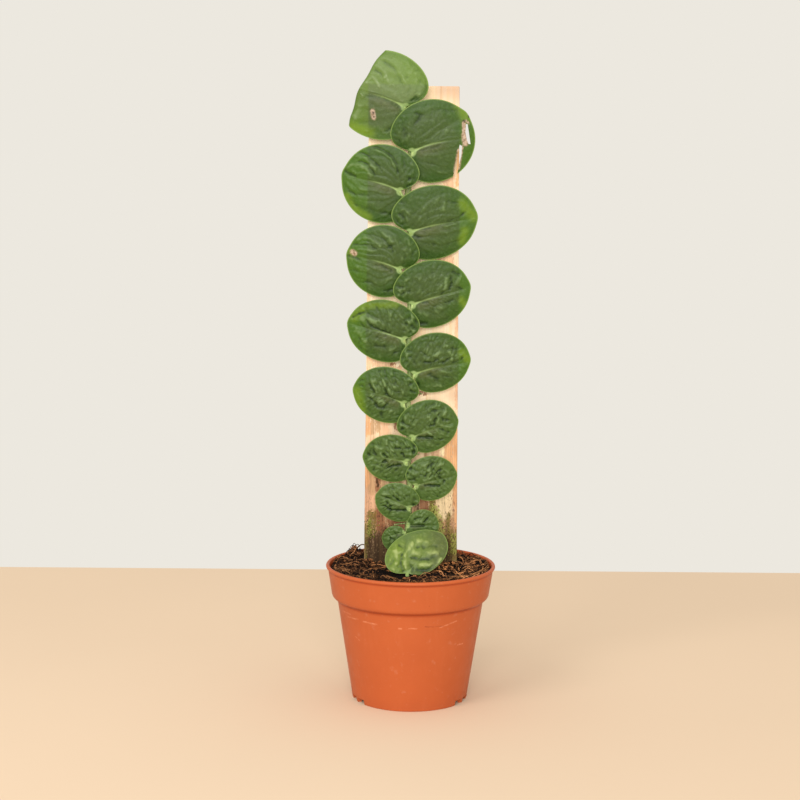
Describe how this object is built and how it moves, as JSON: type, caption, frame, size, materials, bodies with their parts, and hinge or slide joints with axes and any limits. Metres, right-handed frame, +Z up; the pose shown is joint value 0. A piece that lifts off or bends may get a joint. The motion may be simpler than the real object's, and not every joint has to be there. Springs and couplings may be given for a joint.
{
  "type": "potted rhaphidophora",
  "caption": "Shingle plant with overlapping round leaves climbing a wooden board, standing in the soil of a terracotta-coloured plastic nursery pot.",
  "frame": {"origin": "middle of the pot's underside, where it rests on a surface", "axes": "+Z up along the pot's axis, -Y out of the side that the leaves face, +X to the right of someone who looks at the leaves"},
  "size_m": [0.12, 0.12, 0.454],
  "materials": {
    "pot_plastic": "satin moulded polypropylene, terracotta coloured, with faint pale scratches",
    "soil_peat": "moist fibrous peat",
    "pale_pine": "sawn pale softwood, stained brown and green near the soil",
    "green_stem": "living green stem",
    "leaf_green": "satin living leaf, dark green",
    "young_leaf_green": "satin living leaf, lighter green and puckered"
  },
  "bodies": {
    "root": {"pot": "pot_plastic", "soil": "soil_peat", "plank": "pale_pine", "stem": "green_stem", "leaf_01": "leaf_green", "leaf_02": "leaf_green", "leaf_03": "leaf_green", "leaf_04": "leaf_green", "leaf_05": "leaf_green", "leaf_06": "leaf_green", "leaf_07": "leaf_green", "leaf_08": "leaf_green", "leaf_09": "leaf_green", "leaf_10": "leaf_green", "leaf_11": "leaf_green", "leaf_12": "leaf_green", "leaf_13": "leaf_green", "leaf_14": "leaf_green", "leaf_15": "leaf_green", "leaf_16": "young_leaf_green"}
  },
  "joints": []
}
